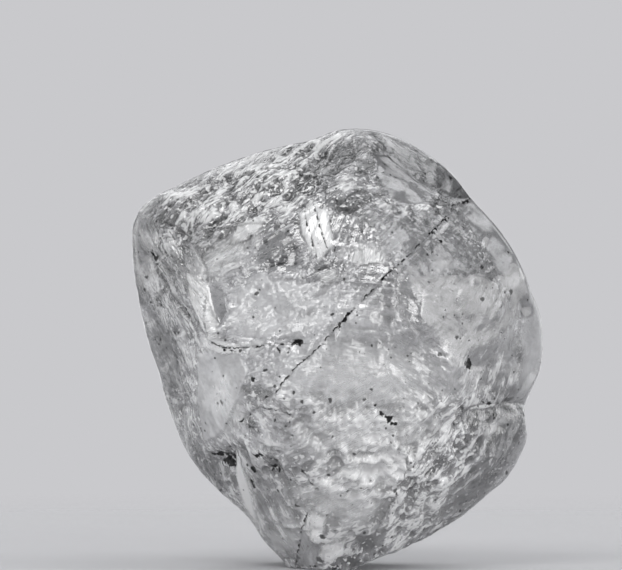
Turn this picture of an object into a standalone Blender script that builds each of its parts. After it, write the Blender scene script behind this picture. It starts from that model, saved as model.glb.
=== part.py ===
"""A rough diamond: one natural crystal, about 11 mm tall, with a grown, uneven skin.

Sizes are in millimetres until the mesh is written in metres. The front is -Y and up is +Z.
The stone stands on a small flat at its foot. The origin is on that flat, under the middle of
the stone's box.
"""

import math

import bmesh
import bpy
import numpy as np

MM = 0.001
NAME = "rough_diamond"

CORE = np.array([-0.062, -0.55, 5.52])  # the point that every face's distance is measured from
GRID_CELLS = 60  # cells along each side of the starting cube
KEPT_SHARE = 0.215  # part of the triangles that the finished crystal keeps
EDGE_CRISPNESS = 60.0  # higher values make sharper edges between faces
RIM_CRISPNESS = 160.0
RIM_DEPTH = 5.75  # half depth at which the rim band has closed to nothing
RIM_FULLNESS = 6.0
FRONT_FADE = 0.6  # front features die out over this depth, near the stone's middle plane

# The outline seen from the front, as (right, up) from the core, clockwise from the left shoulder.
OUTLINE = [
    (-4.92, 3.40), (-4.00, 3.87), (-3.06, 4.45), (-2.06, 4.78), (-0.94, 5.05), (-0.58, 5.23),
    (0.15, 5.40), (0.93, 5.36), (1.48, 5.22), (1.97, 5.00), (2.75, 4.44), (3.66, 3.44),
    (4.34, 2.61), (4.86, 1.44), (5.15, 0.58), (5.19, 0.00), (5.13, -0.58), (4.90, -1.13),
    (4.76, -1.50), (4.78, -2.00), (4.77, -2.58), (4.63, -3.05), (3.85, -3.78), (3.33, -4.20),
    (2.80, -4.58), (2.00, -4.98),
    (1.25, -5.21), (0.74, -5.52), (0.50, -5.90), (-1.20, -5.90), (-1.38, -5.52), (-1.70, -4.99),
    (-2.48, -3.97), (-3.35, -3.16), (-3.76, -2.57), (-4.08, -1.77), (-4.35, -0.87), (-4.68, 0.13),
    (-4.96, 1.38), (-5.07, 2.63), (-5.03, 3.07),
]

# Each face: turn from the front towards the right and tilt upwards, in degrees, and distance.
FACES = {
    "left": (-56.0, -7.5, 4.00),
    "crown left": (-33.8, 57.5, 4.72),
    "shoulder": (-26.2, 18.2, 3.72),
    "front left": (-13.1, 3.0, 3.52),
    "front": (-5.0, 2.6, 3.60),
    "front right": (27.5, -2.5, 3.94),
    "right": (43.1, -4.7, 4.14),
    "crown": (-19.2, 55.7, 4.64),
    "crown right": (34.1, 37.7, 4.40),
    "right shoulder": (36.0, 31.3, 4.34),
    "lower left": (-49.7, -9.8, 4.04),
    "lower left edge": (-58.0, -11.7, 4.12),
    "left wedge": (-71.5, -42.7, 4.84),
    "left sliver": (-62.6, -24.1, 4.24),
    "under left": (-21.7, -23.8, 4.14),
    "under": (5.9, -27.4, 4.40),
    "under right": (48.0, -33.6, 4.57),
    "lobe": (53.1, -11.8, 4.22),
    "back": (155.0, -0.4, 3.50),
    "back crown left": (-149.0, 45.0, 4.72),
    "back crown right": (142.0, 30.0, 3.72),
    "back left": (-131.1, -11.8, 4.62),
    "back right": (145.0, -6.0, 3.22),
    "back under left": (-138.8, -25.0, 4.50),
    "back under right": (146.0, -22.0, 3.56),
    "back foot": (176.2, -22.5, 4.36),
    "back crown": (165.3, 45.4, 4.31),
    "highlight chip": (-10.0, 25.0, 3.95),
    "ridge chip": (-41.0, 6.0, 3.87),
    "shoulder patch": (-24.0, 9.0, 3.46),
    "top chip": (8.0, 50.0, 4.44),
    "foot chip": (0.0, -18.0, 3.76),
    "lobe chip": (60.0, -30.0, 5.00),
    "under band": (6.0, -13.0, 3.90),
    "right band": (36.0, -18.0, 4.18),
    "corner chip": (-32.0, -2.0, 3.76),
    "crown band": (-28.0, 40.0, 4.20),
    "right crown chip": (28.0, 50.0, 4.56),
    "under left band": (-28.0, -12.0, 3.82),
    "lower left chip": (-50.0, -28.0, 4.02),
}

# Grooves (positive depth) and ribs (negative) on the front: (x, z, x, z, half width, depth).
CREASES = {
    "notch over the lobe": (4.90, -1.50, 3.40, -1.55, 0.24, 0.26),
    "lobe valley": (3.60, -1.50, 2.90, -2.00, 0.22, 0.08),
    "crown ledge left": (-4.63, 3.20, -3.70, 2.83, 0.20, 0.09),
    "crown ledge middle": (-3.70, 2.83, -1.20, 3.75, 0.20, 0.10),
    "crown ledge right": (-1.20, 3.75, -0.38, 4.70, 0.18, 0.08),
    "rib along the crown": (-3.30, 3.35, -1.50, 4.10, 0.16, -0.07),
    "shard": (-3.38, 2.50, -1.63, 3.25, 0.14, -0.06),
    "main ridge": (-4.50, 3.10, -2.95, 0.15, 0.16, -0.07),
    "second ridge": (-3.35, 1.70, -2.85, 0.20, 0.12, -0.06),
    "left flute upper": (-4.75, 2.20, -3.70, 0.10, 0.18, 0.08),
    "left flute lower": (-4.50, 0.60, -3.75, -1.60, 0.18, 0.08),
    "left flute inner": (-4.30, 1.90, -3.40, 0.35, 0.14, 0.05),
    "front arc left": (-2.20, -1.70, -1.05, -1.63, 0.14, 0.06),
    "front arc right": (-1.05, -1.63, -0.05, -2.70, 0.14, 0.06),
    "sliver edge": (-2.50, -2.65, -1.98, -4.45, 0.15, 0.09),
    "foot groove": (-0.70, -4.20, -0.95, -5.50, 0.16, 0.08),
    "bright rib": (1.88, -2.63, 0.80, -4.20, 0.16, -0.07),
    "diagonal crack": (3.30, 3.35, 0.00, 0.50, 0.10, 0.04),
    "cross crack": (-4.00, 0.38, -0.90, 0.08, 0.10, 0.04),
    "rim step": (1.30, 4.85, 2.90, 3.70, 0.22, 0.05),
    "rim step lower": (3.80, 2.45, 4.65, 0.95, 0.22, 0.05),
}

# Etched pits on the front: (x, z, radius, depth).
PITS = {
    "large left": (-2.72, -2.82, 0.26, 0.10),
    "right": (3.33, -0.45, 0.22, 0.09),
    "middle": (-0.93, 0.10, 0.18, 0.07),
    "lower": (1.30, -1.75, 0.20, 0.06),
    "left": (-4.55, 2.20, 0.22, 0.07),
    "under": (-1.60, -3.05, 0.20, 0.07),
    "lobe": (4.10, -1.95, 0.24, 0.06),
}

# Broad swellings of the whole skin: direction of each wave, its length and height.
WAVES = [
    ((0.71, 0.20, -0.67), 2.9, 0.030),
    ((-0.35, 0.80, 0.49), 2.3, 0.025),
    ((0.52, 0.55, 0.65), 1.7, 0.018),
    ((-0.80, 0.10, 0.59), 1.3, 0.014),
    ((0.10, -0.62, 0.78), 1.0, 0.010),
]

BODY_COLOUR = (0.42, 0.42, 0.43, 1.0)
ROUGHNESS = 0.22


def clear_scene():
    """Remove what a new Blender scene holds."""
    for thing in list(bpy.data.objects):
        bpy.data.objects.remove(thing, do_unlink=True)


def face_normal(turn, tilt):
    """The outward unit normal of a face that is turned and tilted by these degrees."""
    turn, tilt = math.radians(turn), math.radians(tilt)
    return np.array([
        math.sin(turn) * math.cos(tilt),
        -math.cos(turn) * math.cos(tilt),
        math.sin(tilt),
    ])


def outline_radius(angle):
    """Distance from the core to the outline, seen from the front, at each angle."""
    x, z = np.array(OUTLINE).T
    at = np.arctan2(z, x)
    order = np.argsort(at)
    at, out = at[order], np.hypot(x, z)[order]
    at = np.concatenate([[at[-1] - 2 * math.pi], at, [at[0] + 2 * math.pi]])
    out = np.concatenate([[out[-1]], out, [out[0]]])
    k = np.clip(np.searchsorted(at, angle) - 1, 0, len(at) - 2)
    a, b, ra, rb = at[k], at[k + 1], out[k], out[k + 1]
    return ra * rb * np.sin(b - a) / (ra * np.sin(angle - a) + rb * np.sin(b - angle))


def crystal_radius(ways):
    """Distance from the core to the crystal's skin along each unit direction.

    Each face alone would put the skin at its distance over the cosine to its normal. The
    nearest face wins, with a softened edge, and the rim band closes the outline.
    """
    met = np.zeros(len(ways))
    for turn, tilt, distance in FACES.values():
        met += np.clip(ways @ face_normal(turn, tilt) / distance, 0, None) ** EDGE_CRISPNESS
    met **= 1 / EDGE_CRISPNESS
    flat = np.hypot(ways[:, 0], ways[:, 2])
    rim = flat / outline_radius(np.arctan2(ways[:, 2], ways[:, 0]))
    deep = np.abs(ways[:, 1]) / RIM_DEPTH
    rim = (rim**RIM_FULLNESS + deep**RIM_FULLNESS) ** (1 / RIM_FULLNESS)
    return 1 / (met**RIM_CRISPNESS + rim**RIM_CRISPNESS) ** (1 / RIM_CRISPNESS)


def relief(points):
    """How far each skin point sinks: creases and pits on the front, swellings all over."""
    x, y, z = points.T
    front = np.clip(-y / FRONT_FADE, 0, 1)
    front = front * front * (3 - 2 * front)
    sunk = np.zeros(len(points))
    for x0, z0, x1, z1, half, depth in CREASES.values():
        along = ((x - x0) * (x1 - x0) + (z - z0) * (z1 - z0)) / ((x1 - x0) ** 2 + (z1 - z0) ** 2)
        along = np.clip(along, 0, 1)
        away = np.hypot(x - x0 - along * (x1 - x0), z - z0 - along * (z1 - z0))
        sunk += depth * front * np.exp(-((away / half) ** 2))
    for x0, z0, radius, depth in PITS.values():
        sunk += depth * front * np.exp(-((x - x0) ** 2 + (z - z0) ** 2) / radius**2)
    inside = np.clip(1 - np.hypot(x, z) / outline_radius(np.arctan2(z, x)), 0, 0.1) / 0.1
    for way, length, height in WAVES:
        sunk += height * inside * np.sin(points @ np.array(way) * 2 * math.pi / length)
    return sunk


def rounded_cube_ways(mesh):
    """Unit directions of a subdivided cube's vertices, spread evenly by angle."""
    flat = np.empty(len(mesh.vertices) * 3)
    mesh.vertices.foreach_get("co", flat)
    ways = np.tan(flat.reshape(-1, 3) * math.pi / 4)
    return ways / np.linalg.norm(ways, axis=1, keepdims=True)


def crystal_mesh():
    """The full crystal, before its foot is cut flat, as a fine mesh."""
    grown = bmesh.new()
    bmesh.ops.create_cube(grown, size=2.0)
    bmesh.ops.subdivide_edges(
        grown, edges=grown.edges[:], cuts=GRID_CELLS - 1, use_grid_fill=True
    )
    mesh = bpy.data.meshes.new(NAME)
    grown.to_mesh(mesh)
    grown.free()
    ways = rounded_cube_ways(mesh)
    skin = ways * crystal_radius(ways)[:, None]
    skin -= ways * relief(skin)[:, None]
    mesh.vertices.foreach_set("co", ((skin + CORE) * MM).ravel())
    mesh.update()
    return mesh


def thinned(mesh):
    """The mesh with fewer triangles, kept where the skin bends most."""
    helper = bpy.data.objects.new("helper", mesh)
    bpy.context.scene.collection.objects.link(helper)
    fewer = helper.modifiers.new("Fewer faces", "DECIMATE")
    fewer.decimate_type = "COLLAPSE"
    fewer.ratio = KEPT_SHARE
    graph = bpy.context.evaluated_depsgraph_get()
    result = bpy.data.meshes.new_from_object(helper.evaluated_get(graph))
    bpy.data.objects.remove(helper, do_unlink=True)
    return result


def cut_foot(mesh):
    """Cut the crystal off flat at z = 0, and close it with one face."""
    stone = bmesh.new()
    stone.from_mesh(mesh)
    everything = stone.verts[:] + stone.edges[:] + stone.faces[:]
    bmesh.ops.bisect_plane(
        stone, geom=everything, plane_co=(0, 0, 0), plane_no=(0, 0, -1), clear_outer=True
    )
    open_edges = [edge for edge in stone.edges if edge.is_boundary]
    bmesh.ops.holes_fill(stone, edges=open_edges, sides=0)
    bmesh.ops.triangulate(stone, faces=stone.faces[:])
    bmesh.ops.recalc_face_normals(stone, faces=stone.faces[:])
    stone.to_mesh(mesh)
    stone.free()


def crystal_material():
    """Pale grey translucent crystal, satin rather than polished."""
    material = bpy.data.materials.new("rough diamond")
    material.use_nodes = True
    shader = material.node_tree.nodes["Principled BSDF"]
    shader.inputs["Base Color"].default_value = BODY_COLOUR
    shader.inputs["Roughness"].default_value = ROUGHNESS
    shader.inputs["Metallic"].default_value = 0.0
    shader.inputs["IOR"].default_value = 2.42
    material.diffuse_color = BODY_COLOUR
    return material


def main():
    clear_scene()
    mesh = thinned(crystal_mesh())
    cut_foot(mesh)
    mesh.name = NAME
    mesh.materials.append(crystal_material())
    mesh.shade_smooth()
    mesh.set_sharp_from_angle(angle=math.radians(24))
    stone = bpy.data.objects.new(NAME, mesh)
    collection = bpy.data.collections.new("Rough diamond")
    bpy.context.scene.collection.children.link(collection)
    collection.objects.link(stone)


main()
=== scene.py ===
"""Looks of the rough diamond: its etched, streaky skin, its inclusions, and a plain studio.

The stone's front is -Y and up is +Z. Shapes are worked out in millimetres and written in metres.
"""

import logging
import math
from dataclasses import dataclass
from enum import Enum
from typing import NamedTuple

import bpy
import numpy as np
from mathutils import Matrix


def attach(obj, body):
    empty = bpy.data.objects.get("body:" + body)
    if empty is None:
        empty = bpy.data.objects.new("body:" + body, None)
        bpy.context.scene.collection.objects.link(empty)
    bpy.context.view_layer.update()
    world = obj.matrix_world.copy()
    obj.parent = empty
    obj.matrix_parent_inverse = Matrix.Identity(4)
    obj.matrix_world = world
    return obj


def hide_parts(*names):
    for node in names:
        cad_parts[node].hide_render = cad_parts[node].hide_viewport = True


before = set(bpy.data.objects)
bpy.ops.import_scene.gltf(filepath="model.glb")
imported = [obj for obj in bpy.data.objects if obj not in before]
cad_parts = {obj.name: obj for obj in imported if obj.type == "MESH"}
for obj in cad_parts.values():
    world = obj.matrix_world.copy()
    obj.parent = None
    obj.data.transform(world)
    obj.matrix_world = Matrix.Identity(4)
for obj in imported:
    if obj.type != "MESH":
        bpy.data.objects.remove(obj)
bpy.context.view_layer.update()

logging.basicConfig(level=logging.INFO, format="%(message)s")
log = logging.getLogger("rough_diamond")

MM = 0.001
PHOTO_WIDTH, PHOTO_HEIGHT = 622, 570
MM_PER_PIXEL = 0.025  # at the stone's outline
CORE = np.array([-0.062, -0.55, 5.52])  # the point that every face's distance is measured from
CORE_PIXEL = (335.0, 345.0)  # where the photograph shows that point
FAR = 9.0  # mm, farther than any mark reaches

Socket = bpy.types.NodeSocket
Value = Socket | float | tuple[float, ...]
Points = tuple[tuple[float, float], ...]


def linear(hex_colour: str, alpha: float = 1.0) -> tuple[float, float, float, float]:
    """Turn an sRGB hex colour into linear RGBA.

    Args:
        hex_colour: six hex digits, with or without a leading hash.
        alpha: the fourth channel.

    Returns:
        Linear red, green and blue, and alpha.
    """
    digits = hex_colour.lstrip("#")
    parts = [int(digits[i:i + 2], 16) / 255 for i in (0, 2, 4)]
    flat = [c / 12.92 if c <= 0.04045 else ((c + 0.055) / 1.055) ** 2.4 for c in parts]
    return (flat[0], flat[1], flat[2], alpha)


def smooth_step(value: np.ndarray, low: float, high: float) -> np.ndarray:
    """Rise smoothly from 0 at low to 1 at high.

    Args:
        value: the numbers to map.
        low: where the rise starts.
        high: where it ends.

    Returns:
        The mapped numbers, by 3t^2 - 2t^3 of the clipped share t.
    """
    t = np.clip((value - low) / (high - low), 0, 1)
    return t * t * (3 - 2 * t)


def lattice_noise(place: np.ndarray, seed: int) -> np.ndarray:
    """Smooth noise with features one unit across.

    Args:
        place: points, three numbers each, already divided by the feature size.
        seed: picks the pattern.

    Returns:
        Numbers from -1 to 1: a random value at each whole-numbered corner, blended between the
        eight corners round a point by 3t^2 - 2t^3.
    """
    cell = np.floor(place).astype(np.int64)
    t = place - cell
    t = t * t * (3 - 2 * t)
    total = np.zeros(len(place))
    for corner in np.ndindex(2, 2, 2):
        key = (cell + corner).astype(np.uint64)
        mixed = (key[:, 0] * 73856093) ^ (key[:, 1] * 19349663) ^ (key[:, 2] * 83492791)
        mixed = (mixed + np.uint64(seed * 9781 + 1)) * np.uint64(6364136223846793005)
        mixed = (mixed ^ (mixed >> np.uint64(31))) * np.uint64(2654435761)
        value = (mixed >> np.uint64(20)) % np.uint64(65536) / 32768.0 - 1
        share = np.where(corner, t, 1 - t).prod(axis=1)
        total += share * value
    return total


class CubeSide(Enum):
    """The six sides of the cube that the skin's directions are laid out on.

    Each is the number of the axis that it faces along, and the sign of that way.
    """

    LEFT = (0, -1)
    RIGHT = (0, 1)
    FRONT = (1, -1)
    BACK = (1, 1)
    FOOT = (2, -1)
    CROWN = (2, 1)


@dataclass(frozen=True)
class Face:
    """One crystal face, as its plane and the way it is etched.

    Turn runs from the front towards the right and tilt upwards, in degrees. Distance is from the
    core. Grain is the slope of its etch lines as seen from the front, in degrees, and streak is
    how strongly they show.
    """

    name: str
    turn: float
    tilt: float
    distance: float
    grain: float = 20.0
    streak: float = 0.3

    def normal(self) -> np.ndarray:
        """Return the outward unit normal."""
        turn, tilt = math.radians(self.turn), math.radians(self.tilt)
        flat = math.cos(tilt)
        return np.array([math.sin(turn) * flat, -math.cos(turn) * flat, math.sin(tilt)])

    def etch_axes(self) -> np.ndarray:
        """Find the directions along and across the etch lines.

        Returns:
            Three rows: along the lines, across them in the face, and out of the face. The line's
            direction is the grain's slope in the front view, leant back until it lies in the face.
        """
        out = self.normal()
        slope = math.radians(self.grain)
        across_view = out[1] if abs(out[1]) > 0.2 else math.copysign(0.2, out[1])
        lean = -(out[0] * math.cos(slope) + out[2] * math.sin(slope)) / across_view
        along = np.array([math.cos(slope), lean, math.sin(slope)])
        along -= out * (along @ out)
        along /= np.linalg.norm(along)
        return np.array([along, np.cross(out, along), out])


FACES: tuple[Face, ...] = (
    Face("left", -56.0, -7.5, 4.00, -62, 0.5),
    Face("crown left", -33.8, 57.5, 4.72, 38, 1.0),
    Face("shoulder", -26.2, 18.2, 3.72, 33, 0.45),
    Face("front left", -13.1, 3.0, 3.52, 4, 0.25),
    Face("front", -5.0, 2.6, 3.60, -6, 0.3),
    Face("front right", 27.5, -2.5, 3.94, -30, 0.2),
    Face("right", 43.1, -4.7, 4.14, 60, 0.15),
    Face("crown", -19.2, 55.7, 4.64, 42, 0.7),
    Face("crown right", 34.1, 37.7, 4.40, 45, 0.25),
    Face("right shoulder", 36.0, 31.3, 4.34, 50, 0.2),
    Face("lower left", -49.7, -9.8, 4.04, -75, 0.3),
    Face("lower left edge", -58.0, -11.7, 4.12, -65, 0.5),
    Face("left wedge", -71.5, -42.7, 4.84, -50, 0.5),
    Face("left sliver", -62.6, -24.1, 4.24, -70, 0.5),
    Face("under left", -21.7, -23.8, 4.14, -55, 0.5),
    Face("under", 5.9, -27.4, 4.40, 40, 0.35),
    Face("under right", 48.0, -33.6, 4.62, 35, 0.5),
    Face("lobe", 53.1, -11.8, 4.31, 75, 0.3),
    Face("back", 155.0, -0.4, 3.50, 25, 0.3),
    Face("back crown left", -149.0, 45.0, 4.72, 40, 0.8),
    Face("back crown right", 142.0, 30.0, 3.72, -35, 0.4),
    Face("back left", -131.1, -11.8, 4.62, 60, 0.6),
    Face("back right", 145.0, -6.0, 3.22, -20, 0.3),
    Face("back under left", -138.8, -25.0, 4.50, 50, 0.6),
    Face("back under right", 146.0, -22.0, 3.62, -50, 0.5),
    Face("back foot", 176.2, -22.5, 4.36, 80, 0.5),
    Face("back crown", 165.3, 45.4, 4.31, 15, 0.6),
    Face("highlight chip", -10.0, 25.0, 3.95, 70, 0.3),
    Face("ridge chip", -41.0, 6.0, 3.87, -58, 0.6),
    Face("shoulder patch", -24.0, 9.0, 3.46, 20, 0.15),
    Face("top chip", 8.0, 50.0, 4.44, 30, 0.5),
    Face("foot chip", 0.0, -18.0, 3.76, 25, 0.15),
    Face("lobe chip", 60.0, -30.0, 5.18, 40, 0.3),
    Face("under band", 6.0, -13.0, 3.90, 15, 0.3),
    Face("right band", 36.0, -18.0, 4.18, 40, 0.5),
    Face("corner chip", -32.0, -2.0, 3.76, -60, 0.5),
    Face("crown band", -28.0, 40.0, 4.20, 36, 1.0),
    Face("right crown chip", 28.0, 50.0, 4.56, -35, 0.3),
    Face("under left band", -28.0, -12.0, 3.82, -30, 0.4),
    Face("lower left chip", -50.0, -28.0, 4.02, -60, 0.5),
)


@dataclass(frozen=True)
class Stretch:
    """A straight line between two points of the front, in mm."""

    x0: float
    z0: float
    x1: float
    z1: float

    def away(self, x: np.ndarray, z: np.ndarray) -> np.ndarray:
        """Measure how far points are from the line in the front view.

        Args:
            x: how far right of the core.
            z: how far above it.

        Returns:
            The distance to the nearest point of the line.
        """
        dx, dz = self.x1 - self.x0, self.z1 - self.z0
        along = ((x - self.x0) * dx + (z - self.z0) * dz) / (dx * dx + dz * dz)
        along = np.clip(along, 0, 1)
        return np.hypot(x - self.x0 - along * dx, z - self.z0 - along * dz)

    def side(self, x: np.ndarray, z: np.ndarray) -> np.ndarray:
        """Return 1 for points to the left of the line's way, and -1 to its right."""
        dx, dz = self.x1 - self.x0, self.z1 - self.z0
        return np.sign(dx * (z - self.z0) - dz * (x - self.x0))


@dataclass(frozen=True)
class Crease(Stretch):
    """A groove, or with a negative depth a rib, along a line on the front, in mm."""

    half_width: float
    depth: float

    def sunk(self, x: np.ndarray, z: np.ndarray) -> np.ndarray:
        """Return how far it sinks points: the Gaussian of the distance in half widths."""
        return self.depth * np.exp(-((self.away(x, z) / self.half_width) ** 2))


CREASES: tuple[Crease, ...] = (
    Crease(5.00, -1.48, 4.45, -1.50, 0.22, 0.20),  # notch over the lobe
    Crease(4.45, -1.50, 3.40, -1.62, 0.13, 0.07),
    Crease(3.60, -1.50, 2.90, -2.00, 0.22, 0.08),  # lobe valley
    Crease(-4.63, 3.20, -3.70, 2.83, 0.20, 0.09),  # crown ledge, in three stretches
    Crease(-3.70, 2.83, -1.20, 3.75, 0.20, 0.10),
    Crease(-1.20, 3.75, -0.38, 4.70, 0.18, 0.08),
    Crease(-3.30, 3.35, -1.50, 4.10, 0.16, -0.07),  # rib along the crown
    Crease(-3.38, 2.50, -1.63, 3.25, 0.14, -0.06),  # shard
    Crease(-4.50, 3.10, -2.95, 0.15, 0.16, -0.07),  # main ridge
    Crease(-3.35, 1.70, -2.85, 0.20, 0.12, -0.06),  # second ridge
    Crease(-4.75, 2.20, -3.70, 0.10, 0.18, 0.08),  # flutes of the left side
    Crease(-4.50, 0.60, -3.75, -1.60, 0.18, 0.08),
    Crease(-4.30, 1.90, -3.40, 0.35, 0.14, 0.05),
    Crease(-2.20, -1.70, -1.05, -1.63, 0.14, 0.06),  # arc across the front
    Crease(-1.05, -1.63, -0.05, -2.70, 0.14, 0.06),
    Crease(-2.50, -2.65, -1.98, -4.45, 0.15, 0.09),  # edge of the left sliver
    Crease(-0.70, -4.20, -0.95, -5.50, 0.16, 0.08),  # groove of the foot
    Crease(1.88, -2.63, 0.80, -4.20, 0.16, -0.07),  # bright rib
    Crease(3.30, 3.35, 0.00, 0.50, 0.07, 0.015),  # diagonal crack
    Crease(-4.00, 0.38, -0.90, 0.08, 0.07, 0.02),  # cross crack
    Crease(1.30, 4.85, 2.90, 3.70, 0.22, 0.05),  # steps inside the right rim
    Crease(3.80, 2.45, 4.65, 0.95, 0.22, 0.05),
)


@dataclass(frozen=True)
class Pit:
    """A round etched pit of the front, in mm."""

    x: float
    z: float
    radius: float
    depth: float

    def sunk(self, x: np.ndarray, z: np.ndarray) -> np.ndarray:
        """Return how far it sinks points: the Gaussian of the distance in radii."""
        return self.depth * np.exp(-((x - self.x) ** 2 + (z - self.z) ** 2) / self.radius**2)


PITS: tuple[Pit, ...] = (
    Pit(-2.72, -2.82, 0.26, 0.10),
    Pit(3.33, -0.45, 0.22, 0.09),
    Pit(-0.93, 0.10, 0.18, 0.07),
    Pit(1.30, -1.75, 0.20, 0.06),
    Pit(-4.55, 2.20, 0.22, 0.07),
    Pit(-1.60, -3.05, 0.20, 0.07),
    Pit(4.10, -1.95, 0.24, 0.06),
)


@dataclass(frozen=True)
class Wave:
    """A broad swelling of the whole skin, by its direction, and its length and height in mm."""

    way: tuple[float, float, float]
    length: float
    height: float

    def sunk(self, points: np.ndarray) -> np.ndarray:
        """Return how far it sinks points: a sine of the place along its direction."""
        return self.height * np.sin(points @ np.array(self.way) * 2 * math.pi / self.length)


WAVES: tuple[Wave, ...] = (
    Wave((0.71, 0.20, -0.67), 2.9, 0.030),
    Wave((-0.35, 0.80, 0.49), 2.3, 0.025),
    Wave((0.52, 0.55, 0.65), 1.7, 0.018),
    Wave((-0.80, 0.10, 0.59), 1.3, 0.014),
    Wave((0.10, -0.62, 0.78), 1.0, 0.010),
)

# The outline in the photograph, as x, z points in mm from the core.
OUTLINE: Points = (
    (-4.86, 3.40), (-4.44, 3.74), (-3.98, 3.96), (-3.06, 4.41), (-2.06, 4.76), (-0.94, 5.03),
    (-0.52, 5.15), (-0.10, 5.31), (0.30, 5.40), (0.93, 5.38), (1.48, 5.23), (1.97, 5.00),
    (2.75, 4.44), (3.60, 3.42), (4.27, 2.60), (4.82, 1.46), (5.15, 0.58), (5.19, 0.00),
    (5.13, -0.58), (4.90, -1.13), (4.76, -1.50), (4.78, -2.00), (4.80, -2.58), (4.66, -2.98),
    (3.78, -3.76), (3.24, -4.20), (2.66, -4.57), (1.84, -4.98), (1.20, -5.19), (0.42, -5.52),
    (0.15, -5.90), (-1.00, -5.90), (-1.17, -5.52), (-1.66, -4.96), (-2.48, -3.97),
    (-3.35, -3.16), (-3.76, -2.57), (-4.08, -1.77), (-4.35, -0.87), (-4.68, 0.13),
    (-4.96, 1.38), (-5.07, 2.63), (-5.03, 3.07),
)


@dataclass(frozen=True)
class Oval:
    """An oval of the front, centred at x, z, in mm.

    Long and short are its half sizes, and slope turns the long one up from the right, in degrees.
    """

    x: float
    z: float
    long: float
    short: float
    slope: float = 0.0

    def away(self, x: np.ndarray, z: np.ndarray) -> np.ndarray:
        """Measure how far points are from the oval's middle.

        Args:
            x: how far right of the core.
            z: how far above it.

        Returns:
            The distance in the oval's own half sizes, which is 1 at its edge.
        """
        slope = math.radians(self.slope)
        dx, dz = x - self.x, z - self.z
        along = (dx * math.cos(slope) + dz * math.sin(slope)) / self.long
        across = (dz * math.cos(slope) - dx * math.sin(slope)) / self.short
        return np.hypot(along, across)


@dataclass(frozen=True)
class Patch(Oval):
    """An oval area of the front that differs in colour and relief.

    Frost whitens it, partly as frost and partly as painted highlight, shade darkens it, partly
    as grey tone and partly as painted shade, streak strengthens its etch lines, and hackle is the
    depth of its broken ground in mm.
    """

    frost_and_highlight: float = 0.0
    shade: float = 0.0
    streak: float = 0.0
    hackle: float = 0.0

    def weight(self, x: np.ndarray, z: np.ndarray) -> np.ndarray:
        """Return how strongly points belong to it: the Gaussian of the distance."""
        return np.exp(-(self.away(x, z) ** 2))


# Frost here is partly painted highlight, and shade partly painted shade.
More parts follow.
